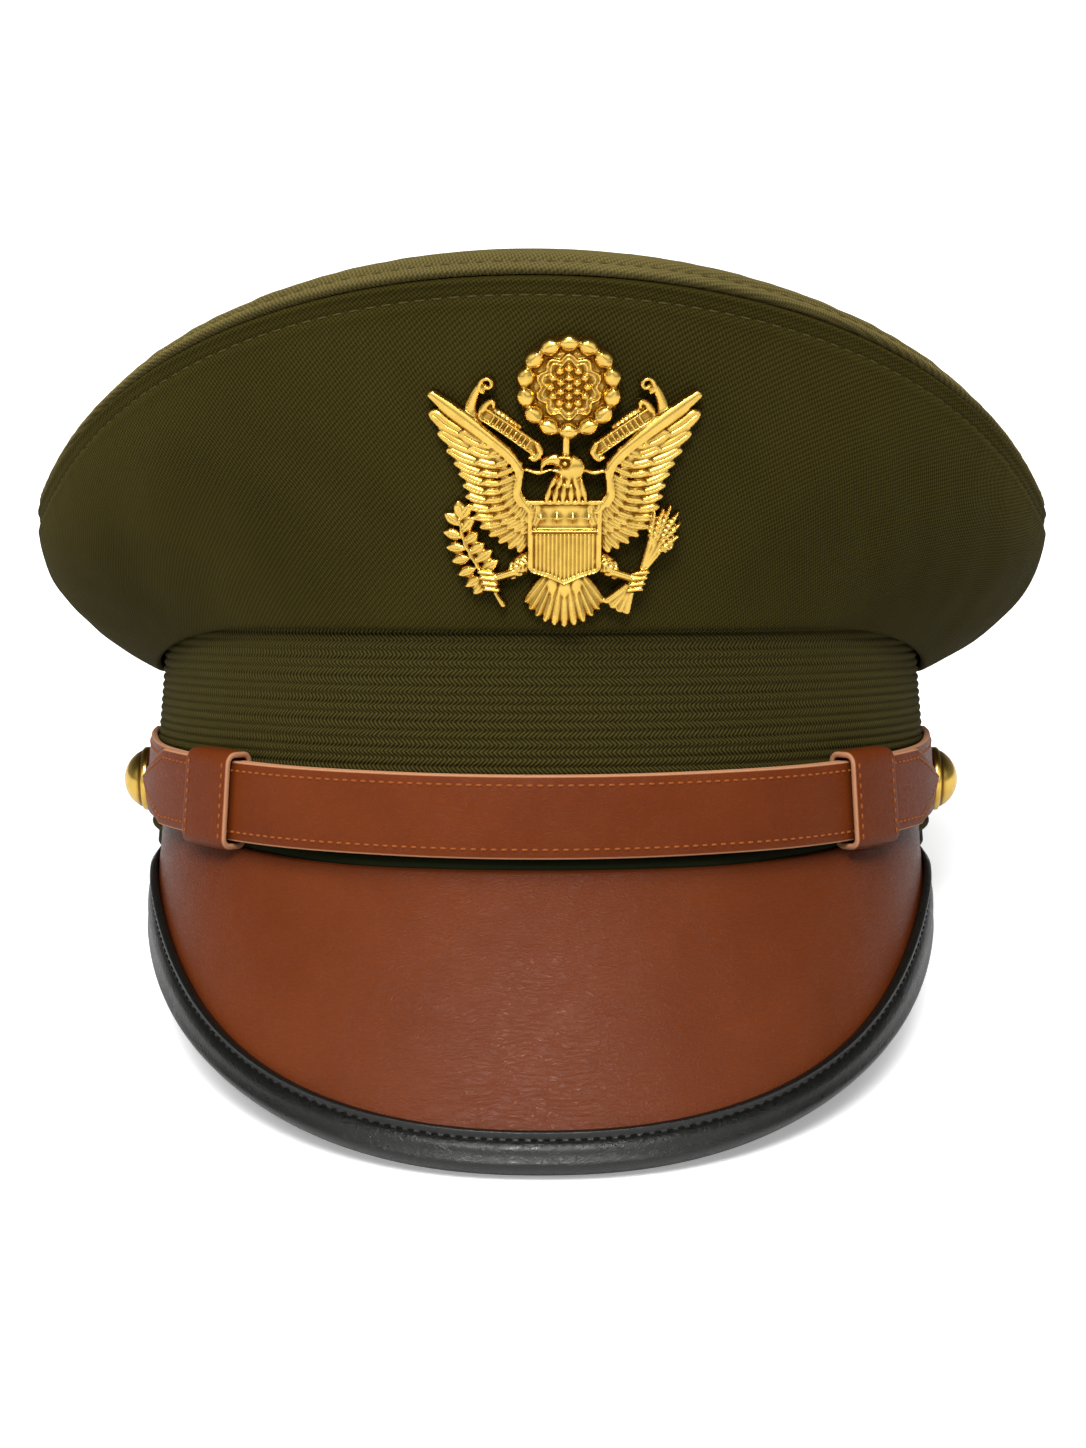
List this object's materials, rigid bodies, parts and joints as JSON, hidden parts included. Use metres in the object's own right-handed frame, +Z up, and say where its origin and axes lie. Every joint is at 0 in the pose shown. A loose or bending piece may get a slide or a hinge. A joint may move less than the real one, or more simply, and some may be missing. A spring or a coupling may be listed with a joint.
{
  "type": "military cap",
  "caption": "Peaked service cap: raked cloth crown over a ribbed braid band, bound leather peak, leather chin strap with keepers, side buttons and a gilt eagle badge.",
  "frame": {"origin": "the middle of the bounding box, at the surface that the cap stands on", "axes": "+Z up, -Y the way the peak and badge face, +X to the right as seen from the front; the cap stands tilted back on the tip of its peak and the back of its band"},
  "size_m": [0.2336, 0.2866, 0.1635],
  "materials": {
    "crown_cloth": "olive drab barathea, a fine matt twill with a little sheen",
    "braid": "olive drab mohair braid woven in fine twisted ribs",
    "band_cloth": "dark green cloth, matt",
    "russet_leather": "russet leather, satin, stitched near its edges, with paler cut edges",
    "black_leather": "black pebbled leather, satin",
    "gilt": "gilt brass, die struck and polished"
  },
  "bodies": {
    "root": {"band": "band_cloth", "braid_band": "braid", "band_welt": "band_cloth", "crown_side": "crown_cloth", "crown_top": "crown_cloth", "peak": "russet_leather", "peak_binding": "black_leather", "chin_strap": "russet_leather", "under_strap": "russet_leather", "keeper_left": "russet_leather", "keeper_right": "russet_leather", "button_left": "gilt", "button_right": "gilt", "badge": "gilt", "badge_nut": "gilt"}
  },
  "joints": []
}
